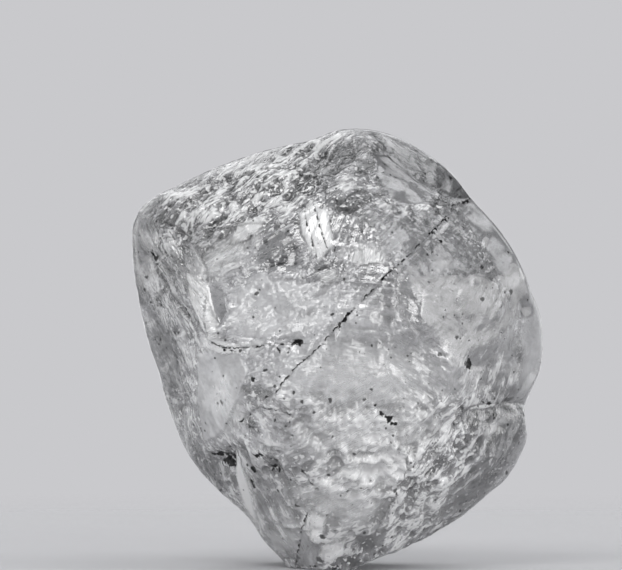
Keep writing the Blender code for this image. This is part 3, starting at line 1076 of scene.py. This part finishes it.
@dataclass(frozen=True)
class RoughDiamond:
    """Natural diamond as it grew: clear inside, its skin etched by hot fluids in the rock.

    Diamond has an IOR of 2.42, so even a satin skin flashes brightly at edges and looks grey
    where light can't get through. The etching left fine lines and frost that scatter light, so
    the skin is see-through only in part, and least where it is white, from frost and painted
    highlight. Its colour carries painted light as well: painted highlight whitens bright facets,
    crests and sparks in the grit, and painted shade greys shaded areas and darkens hollows and
    the grooves between etch lines. Etch lines are some hundredths of a millimetre apart. They are
    drawn 0.075 mm apart, as coarse as they need to be to show.
    """

    name: str = "rough diamond, etched"
    clear: str = "#E8E8EA"
    # white of frost, and of painted highlights and glints
    white_of_frost_and_highlight: str = "#FFFFFF"
    # grey of the shade mark: grey tone, and painted shade
    shaded: str = "#7C7C7E"
    clouded: str = "#78787A"
    hollow: str = "#242426"  # painted shade in hollows of the relief, and in dashes between etch lines
    speck: str = "#060607"
    absorbed: str = "#D9D9DC"
    absorption: float = 22.0  # per metre
    ior: float = 2.42
    through: Ramp = Ramp(0.0, 1.0, 0.66, 0.20)  # see-through share, from clear to white
    roughness: Ramp = Ramp(0.0, 1.0, 0.15, 0.38)  # from clear to satin
    speck_shine: Ramp = Ramp(0.0, 1.0, 0.5, 0.08)  # specks are dull

    # The patterns: etch lines, and three noises from fine to coarse.
    line_spacing: float = 0.075  # mm
    line_stretch: float = 3.6  # how much longer than wide the etch lines' marks are
    line_detail: float = 1.0
    line_roughness: float = 0.55
    line_waver: float = 0.6
    grit: Grit = Grit(8.0, 1.0, 0.6)
    mottle: Grit = Grit(1 / 0.11, 2.0, 0.7)
    blotch: Grit = Grit(1.4, 4.0, 0.6)

    # How grit and the distances in the skin's marks become dark specks and cracks.
    strewn: tuple[Strewn, ...] = (Strewn(0.36, -0.22, 0.13), Strewn(0.17, -0.35, 0.22))
    strewn_ragged: Ramp = Ramp(0.3, 0.7, -0.14, 0.14)
    strewn_edge: Ramp = Ramp(0.0, 0.08, 0.9, 0.0)
    speck_ragged: Ramp = Ramp(0.3, 0.7, -0.05, 0.05)  # mm
    speck_edge: Ramp = Ramp(-0.01, 0.02, 1.0, 0.0)
    crack_stray: Ramp = Ramp(0.3, 0.7, -0.035, 0.035)  # mm
    crack_edge: Ramp = Ramp(0.010, 0.038, 1.0, 0.0)
    crack_broken: Ramp = Ramp(0.40, 0.56, 0.35, 1.0)

    # How each mark or pattern adds to or weakens the painted highlight of crests and the painted
    # glints of sparks.
    crest_painted_highlight: Ramp = Ramp(0.03, 0.27)
    line_white: Ramp = Ramp(0.38, 0.50, 0.4, 1.0)
    shade_white: Ramp = Ramp(0.0, 1.0, 1.0, 0.25)
    spark_streak: float = 0.04  # how much a streak adds to the grit
    spark: Ramp = Ramp(0.60, 0.68, 0.0, 0.9)
    spark_polish: Ramp = Ramp(0.0, 0.7, 1.0, 0.0)

    # The same for grey tone and painted shade, clouding, and the painted shade of dashes and hollows.
    shade_strength: float = 1.2
    blotch_shade: Ramp = Ramp(0.42, 0.75, 0.0, 0.45)
    frost_and_highlight_cloud: Ramp = Ramp(0.0, 1.0, 0.65, 0.20)
    mottle_cloud: Ramp = Ramp(0.40, 0.58, 1.0, 0.0)
    polish_cloud: Ramp = Ramp(0.0, 0.8, 1.0, 0.35)
    dash_streak: float = 0.65
    dash_least: float = 0.03
    line_dash: Ramp = Ramp(0.36, 0.44, 1.0, 0.0)
    crest_painted_shade: Ramp = Ramp(-0.32, -0.02, 0.95, 0.0)

    # The same for roughness, and the bumps' depths and strengths.
    blotch_satin: Ramp = Ramp(0.45, 0.70, 0.0, 0.7)
    line_satin: Ramp = Ramp(0.35, 0.65, 0.5, 1.2)
    polish_gloss: Ramp = Ramp(0.5, 1.0, 1.0, 0.45)
    polish_bump: Ramp = Ramp(0.0, 1.0, 1.0, 0.08)
    blotch_bump: float = 0.025  # mm
    grit_bump: float = 0.013  # mm
    line_bump: float = 0.04  # mm
    bump_streak: float = 0.9
    bump_least: float = 0.05

    def material(self) -> bpy.types.Material:
        """Build the material.

        Returns:
            A Principled BSDF with a plain IOR and plain absorption, and transmission that is less
            where the skin is white and where it is dark. Its colour, roughness and bump read the
            skin's own attributes and the Object coordinates.
        """
        made = bpy.data.materials.new(self.name)
        made.use_nodes = True
        bench = NodeBench(made.node_tree)
        marks = self.marks(bench)
        dark = self.dark(bench, marks)
        white = self.white(bench, marks)
        undark = bench.add("MapRange", dark, *Ramp(0.0, 1.0, 1.0, 0.0))
        through = bench.add("MapRange", white, *self.through)
        surface = bench.add("BsdfPrincipled", inputs={
            "IOR": self.ior,
            "Metallic": 0.0,
            "Base Color": self.colour(bench, marks, white, dark),
            "Roughness": self.uneven_roughness(bench, marks),
            "Normal": self.bump(bench, marks),
            "Transmission Weight": bench.add("Math", through, undark, operation="MULTIPLY"),
            "Specular IOR Level": bench.add("MapRange", dark, *self.speck_shine),
        })
        inside = bench.add(
            "VolumeAbsorption", inputs={"Color": linear(self.absorbed), "Density": self.absorption}
        )
        bench.add("OutputMaterial", inputs={"Surface": surface, "Volume": inside})
        return made

    def marks(self, bench: NodeBench) -> dict[str, Socket]:
        """Read the skin's attributes and lay out the patterns.

        Args:
            bench: the tree's bench.

        Returns:
            Sockets by name: the attributes that CrystalSkin.marks() describes, but for grain;
            place, the Object coordinates; lines, noise drawn out along the etch lines; and grit,
            mottle and blotch, noise from fine to coarse.
        """
        names = ("streak", "frost_and_highlight", "shade", "speck", "crack", "polish", "crest")
        marks = {name: bench.add("Attribute", out="Fac", attribute_name=name) for name in names}
        marks["place"] = bench.add("TexCoord", out="Object")
        grain = bench.add("Attribute", out="Vector", attribute_name="grain")
        across = 1 / self.line_spacing
        along = across / self.line_stretch
        drawn = bench.add("VectorMath", grain, (along, across, along * 2), operation="MULTIPLY")
        marks["lines"] = bench.add("TexNoise", drawn, inputs={
            "Scale": 1.0, "Detail": self.line_detail, "Roughness": self.line_roughness,
            "Distortion": self.line_waver,
        })
        patterns = {"grit": self.grit, "mottle": self.mottle, "blotch": self.blotch}
        for name, noise in patterns.items():
            marks[name] = bench.add("TexNoise", marks["place"], inputs={
                "Scale": noise.per_mm / MM, "Detail": noise.detail, "Roughness": noise.roughness,
            })
        return marks

    def dark(self, bench: NodeBench, marks: dict[str, Socket]) -> Socket:
        """Add the dark mineral specks and the cracks.

        Args:
            bench: the tree's bench.
            marks: what marks() gives.

        Returns:
            How dark a point is, 0 to 1: the most of the small strewn specks, of the large ones
            in the skin's marks, and of the cracks. Grit makes all their edges ragged.
        """
        shares = []
        for specks in self.strewn:
            cell = bench.add(
                "TexVoronoi", marks["place"], out="Color",
                inputs={"Scale": 1 / (specks.spacing * MM), "Randomness": 1.0},
            )
            size = bench.add("MapRange", cell, *Ramp(0.0, 1.0, specks.least, specks.most))
            off = bench.add("Math", cell.node.outputs["Distance"], size, operation="SUBTRACT")
            ragged = bench.add("MapRange", marks["grit"], *self.strewn_ragged)
            off = bench.add("Math", off, ragged, operation="ADD")
            shares.append(bench.add("MapRange", off, *self.strewn_edge))
        ragged = bench.add("MapRange", marks["grit"], *self.speck_ragged)
        off = bench.add("Math", marks["speck"], ragged, operation="ADD")
        shares.append(bench.add("MapRange", off, *self.speck_edge))
        stray = bench.add("MapRange", marks["grit"], *self.crack_stray)
        off = bench.add("Math", marks["crack"], stray, operation="ADD")
        off = bench.add("Math", off, operation="ABSOLUTE")
        line = bench.add("MapRange", off, *self.crack_edge)
        broken = bench.add("MapRange", marks["grit"], *self.crack_broken)
        most = bench.add("Math", line, broken, operation="MULTIPLY")
        for share in shares:
            most = bench.add("Math", most, share, operation="MAXIMUM")
        return most

    def white(self, bench: NodeBench, marks: dict[str, Socket]) -> Socket:
        """Add the whiteness.

        Args:
            bench: the tree's bench.
            marks: what marks() gives.

        Returns:
            How white a point is, 0 to 1: the most of the frost mark, which is partly painted
            highlight, of painted highlight on the relief's crests, which are whiter along the etch
            lines, and of painted glints, the sparks, in the grit where it isn't polished. Crests and
            sparks are weaker in shaded areas.
        """
        lit = bench.add("MapRange", marks["shade"], *self.shade_white)
        # painted highlight on the crests of the relief, stronger along the etch lines
        crest = bench.add("MapRange", marks["crest"], *self.crest_painted_highlight)
        line = bench.add("MapRange", marks["lines"], *self.line_white)
        crest = bench.add("Math", crest, line, operation="MULTIPLY")
        crest = bench.add("Math", crest, lit, operation="MULTIPLY")
        white = bench.add("Math", marks["frost_and_highlight"], crest, operation="MAXIMUM")
        # painted glints: sparks in the grit
        spark = bench.add(
            "Math", marks["streak"], self.spark_streak, marks["grit"], operation="MULTIPLY_ADD"
        )
        spark = bench.add("MapRange", spark, *self.spark)
        unpolished = bench.add("MapRange", marks["polish"], *self.spark_polish)
        spark = bench.add("Math", spark, unpolished, operation="MULTIPLY")
        spark = bench.add("Math", spark, lit, operation="MULTIPLY")
        return bench.add("Math", white, spark, operation="MAXIMUM")

    def colour(
        self, bench: NodeBench, marks: dict[str, Socket], white: Socket, dark: Socket
    ) -> Socket:
        """Add the colour.

        Args:
            bench: the tree's bench.
            marks: what marks() gives.
            white: what white() gives.
            dark: what dark() gives.

        Returns:
            The colour socket: clear crystal, and over it in turn grey tone and painted shade,
            clouding, painted shade in dashes between the etch lines, painted shade in hollows of the
            relief, white of frost and painted highlight, and the specks.
        """
        # grey tone of blotches, and the shade mark, partly painted shade
        shade = bench.add("MapRange", marks["blotch"], *self.blotch_shade)
        shade = bench.add(
            "Math", marks["shade"], self.shade_strength, shade,
            operation="MULTIPLY_ADD", use_clamp=True,
        )
        cloud = bench.add("MapRange", marks["frost_and_highlight"], *self.frost_and_highlight_cloud)
        mottled = bench.add("MapRange", marks["mottle"], *self.mottle_cloud)
        cloud = bench.add("Math", cloud, mottled, operation="MULTIPLY")
        unpolished = bench.add("MapRange", marks["polish"], *self.polish_cloud)
        cloud = bench.add("Math", cloud, unpolished, operation="MULTIPLY")
        # painted shade in the grooves between etch lines, stronger where streaked and shaded
        dash = bench.add(
            "Math", marks["streak"], self.dash_streak, self.dash_least, operation="MULTIPLY_ADD"
        )
        dash = bench.add("Math", dash, marks["shade"], operation="ADD", use_clamp=True)
        between = bench.add("MapRange", marks["lines"], *self.line_dash)
        dash = bench.add("Math", dash, between, operation="MULTIPLY")
        # painted shade in the hollows of the relief
        hollow = bench.add("MapRange", marks["crest"], *self.crest_painted_shade)
        colour = linear(self.clear)
        for share, over in (
            (shade, self.shaded), (cloud, self.clouded), (dash, self.hollow),
            (hollow, self.hollow), (white, self.white_of_frost_and_highlight), (dark, self.speck),
        ):
            colour = bench.add(
                "Mix", share, out=2, inputs={6: colour, 7: linear(over)}, data_type="RGBA"
            )
        return colour

    def uneven_roughness(self, bench: NodeBench, marks: dict[str, Socket]) -> Socket:
        """Add the roughness.

        Args:
            bench: the tree's bench.
            marks: what marks() gives.

        Returns:
            The roughness socket: low on clear faces, high where the frost mark is, which is partly
            painted highlight, and in blotches, uneven along the etch lines, and less than half where
            the skin is polished.
        """
        satin = bench.add("MapRange", marks["blotch"], *self.blotch_satin)
        satin = bench.add("Math", marks["frost_and_highlight"], satin, operation="MAXIMUM")
        uneven = bench.add("MapRange", marks["lines"], *self.line_satin)
        satin = bench.add("Math", satin, uneven, operation="MULTIPLY")
        rough = bench.add("MapRange", satin, *self.roughness)
        gloss = bench.add("MapRange", marks["polish"], *self.polish_gloss)
        return bench.add("Math", rough, gloss, operation="MULTIPLY")

    def bump(self, bench: NodeBench, marks: dict[str, Socket]) -> Socket:
        """Add the bumps.

        Args:
            bench: the tree's bench.
            marks: what marks() gives.

        Returns:
            The normal socket: blotches and grit all over, and etch lines where the skin is
            streaked, all fainter where it is polished.
        """
        unpolished = bench.add("MapRange", marks["polish"], *self.polish_bump)
        streaked = bench.add(
            "Math", marks["streak"], self.bump_streak, self.bump_least, operation="MULTIPLY_ADD"
        )
        streaked = bench.add("Math", streaked, unpolished, operation="MULTIPLY")
        layers = (
            (marks["blotch"], self.blotch_bump, unpolished),
            (marks["grit"], self.grit_bump, unpolished),
            (marks["lines"], self.line_bump, streaked),
        )
        normal = {}
        for height, depth, strength in layers:
            made = {"Height": height, "Distance": depth * MM, "Strength": strength}
            normal = {"Normal": bench.add("Bump", inputs=made | normal)}
        return normal["Normal"]


@dataclass(frozen=True)
class MattBoard:
    """Matt painted board: pale and even, with no shine, so that it only carries a soft shadow.

    It thins out to nothing away from the stone, in mm, and the plain ground takes over.
    """

    name: str = "matt board"
    colour: str = "#C6C6C8"
    roughness: float = 0.9
    solid: float = 9.0
    gone: float = 45.0

    def material(self) -> bpy.types.Material:
        """Build the material.

        Returns:
            A Principled BSDF whose alpha falls with the distance from the origin.
        """
        made = bpy.data.materials.new(self.name)
        made.use_nodes = True
        bench = NodeBench(made.node_tree)
        place = bench.add("TexCoord", out="Object")
        away = bench.add("VectorMath", place, out="Value", operation="LENGTH")
        alpha = bench.add("MapRange", away, *Ramp(self.solid * MM, self.gone * MM, 1.0, 0.0))
        surface = bench.add("BsdfPrincipled", inputs={
            "Base Color": linear(self.colour), "Roughness": self.roughness, "Alpha": alpha,
        })
        bench.add("OutputMaterial", inputs={"Surface": surface})
        return made


@dataclass(frozen=True)
class Lamp:
    """A soft round lamp.

    Way points to it from the stone, spread is its half angle seen from there, in degrees, and
    brightness is its radiance.
    """

    name: str
    way: tuple[float, float, float]
    spread: float
    brightness: float


LAMPS: tuple[Lamp, ...] = (
    Lamp("key", (-0.28, -0.59, 0.75), 13, 3.9),
    Lamp("top", (-0.27, 0.60, 0.75), 12, 1.0),
    Lamp("left", (-0.96, 0.19, 0.05), 14, 0.7),
    Lamp("right", (0.90, -0.20, 0.15), 26, 1.0),
    Lamp("front right", (0.78, -0.60, 0.12), 8, 2.5),
    Lamp("front high", (0.30, -0.80, 0.52), 7, 4.5),
    Lamp("front left", (-0.62, -0.74, 0.25), 7, 3.2),
    Lamp("front low", (0.25, -0.95, -0.03), 11, 2.7),
)


@dataclass
class Studio:
    """A pale floor that fades into a plain grey ground, soft lights, and the camera."""

    backdrop: str = "#C9C9CC"
    tent: str = "#F7F8FA"
    floor_finish: MattBoard = MattBoard()
    floor_reach: float = 49.5  # mm
    floor_sides: int = 96
    floor_drop: float = 0.01  # mm, so that the floor and the stone's foot don't flicker
    lens: float = 300.0  # mm
    sensor: float = 36.0  # mm
    nearest: float = 0.001  # m, what the camera can see
    farthest: float = 10.0  # m
    lamps: tuple[Lamp, ...] = LAMPS
    lamp_away: float = 150.0  # mm
    lamp_aim: float = 5.5  # mm, half way up the stone
    light_up: Ramp = Ramp(-0.1, 0.95, 0.0, 0.42)
    light_right: Ramp = Ramp(-1.0, 1.0, 0.20, 0.46)
    light_back: Ramp = Ramp(-0.7, 0.7, -0.10, 0.60)
    panels: Ramp = Ramp(0.42, 0.58, 0.10, 1.80)  # brightness, from the gaps to the panels
    panel_scale: float = 2.6
    bounces: int = 24
    glossy_bounces: int = 12
    clamp: float = 4.0

    def build(self) -> None:
        """Build the floor, the ground, the lights and the camera."""
        self.floor()
        self.ground()
        self.lights()
        self.camera()
        scene = bpy.context.scene
        scene.view_settings.view_transform = "Standard"
        scene.cycles.max_bounces = self.bounces
        scene.cycles.transmission_bounces = self.bounces
        scene.cycles.glossy_bounces = self.glossy_bounces
        scene.cycles.use_denoising = True
        scene.cycles.sample_clamp_indirect = self.clamp

    def floor(self) -> None:
        """Build the floor: a disc of triangles from its middle to points on a circle."""
        turn = np.linspace(0, 2 * math.pi, self.floor_sides, endpoint=False)
        ring = np.stack([np.cos(turn), np.sin(turn), 0 * turn], axis=1) * self.floor_reach
        points = np.concatenate([np.zeros((1, 3)), ring])
        points[:, 2] -= self.floor_drop
        first = np.arange(self.floor_sides)
        fans = np.stack([0 * first, first + 1, (first + 1) % self.floor_sides + 1], axis=1)
        mesh = bpy.data.meshes.new("floor")
        mesh.from_pydata(points * MM, [], fans.tolist())
        mesh.materials.append(self.floor_finish.material())
        floor = bpy.data.objects.new("floor", mesh)
        bpy.context.scene.collection.objects.link(floor)
        log.info("%s: %d faces, %s", floor.name, len(fans), self.floor_finish.name)

    def ground(self) -> None:
        """Build the world: the plain grey that the camera sees, and soft light all round.

        The light is brighter from above, from the right and from behind, as in a light tent. The
        tent is made of panels with dim gaps, which give the stone its grey depths.
        """
        world = bpy.data.worlds.new("light tent")
        world.use_nodes = True
        bpy.context.scene.world = world
        bench = NodeBench(world.node_tree)
        way = bench.add("TexCoord", out="Generated")
        part = bench.add("SeparateXYZ", way).node.outputs
        strength = bench.add("MapRange", part["Z"], *self.light_up)
        for axis, ramp in (("X", self.light_right), ("Y", self.light_back)):
            more = bench.add("MapRange", part[axis], *ramp)
            strength = bench.add("Math", strength, more, operation="ADD")
        panels = bench.add(
            "TexNoise", way, inputs={"Scale": self.panel_scale, "Detail": 1.0, "Roughness": 0.5}
        )
        panels = bench.add("MapRange", panels, *self.panels)
        strength = bench.add("Math", strength, panels, operation="MULTIPLY")
        tent = bench.add("Background", linear(self.tent), strength)
        plain = bench.add("Background", linear(self.backdrop))
        seen = bench.add("MixShader", bench.add("LightPath", out="Is Camera Ray"), tent, plain)
        bench.add("OutputWorld", inputs={"Surface": seen})
        log.info("ground: %s", world.name)

    def lights(self) -> None:
        """Add the lamps, each a disc that faces the stone, with power pi times area times radiance."""
        for lamp in self.lamps:
            radius = self.lamp_away * MM * math.tan(math.radians(lamp.spread))
            light = bpy.data.lights.new(lamp.name, "AREA")
            light.shape = "DISK"
            light.size = 2 * radius
            light.energy = lamp.brightness * math.pi * math.pi * radius**2
            aim = -np.array(lamp.way) / np.linalg.norm(lamp.way)
            holder = bpy.data.objects.new(lamp.name, light)
            holder.location = (np.array([0, 0, self.lamp_aim]) - aim * self.lamp_away) * MM
            turn = math.atan2(aim[1], aim[0]) - math.pi / 2
            holder.rotation_euler = (math.acos(-aim[2]), 0, turn)
            holder.visible_camera = False
            bpy.context.scene.collection.objects.link(holder)
            log.info("lamp: %s", lamp.name)

    def camera(self) -> None:
        """Place the camera level with the stone's upper half, straight in front."""
        x = CORE[0] + (PHOTO_WIDTH / 2 - CORE_PIXEL[0]) * MM_PER_PIXEL
        z = CORE[2] + (CORE_PIXEL[1] - PHOTO_HEIGHT / 2) * MM_PER_PIXEL
        away = PHOTO_WIDTH * MM_PER_PIXEL * self.lens / self.sensor
        data = bpy.data.cameras.new("camera")
        data.lens = self.lens
        data.sensor_width = self.sensor
        data.clip_start = self.nearest
        data.clip_end = self.farthest
        camera = bpy.data.objects.new("camera", data)
        camera.location = (x * MM, (CORE[1] - away) * MM, z * MM)
        camera.rotation_euler = (math.pi / 2, 0, 0)
        bpy.context.scene.collection.objects.link(camera)
        bpy.context.scene.camera = camera
        log.info("camera: %.0f mm in front of the stone", away)


def main() -> None:
    """Build the stone and its studio."""
    crystal = CrystalSkin()
    crystal.dress(crystal.build(), RoughDiamond())
    Studio().build()


if __name__ == "__main__":
    main()
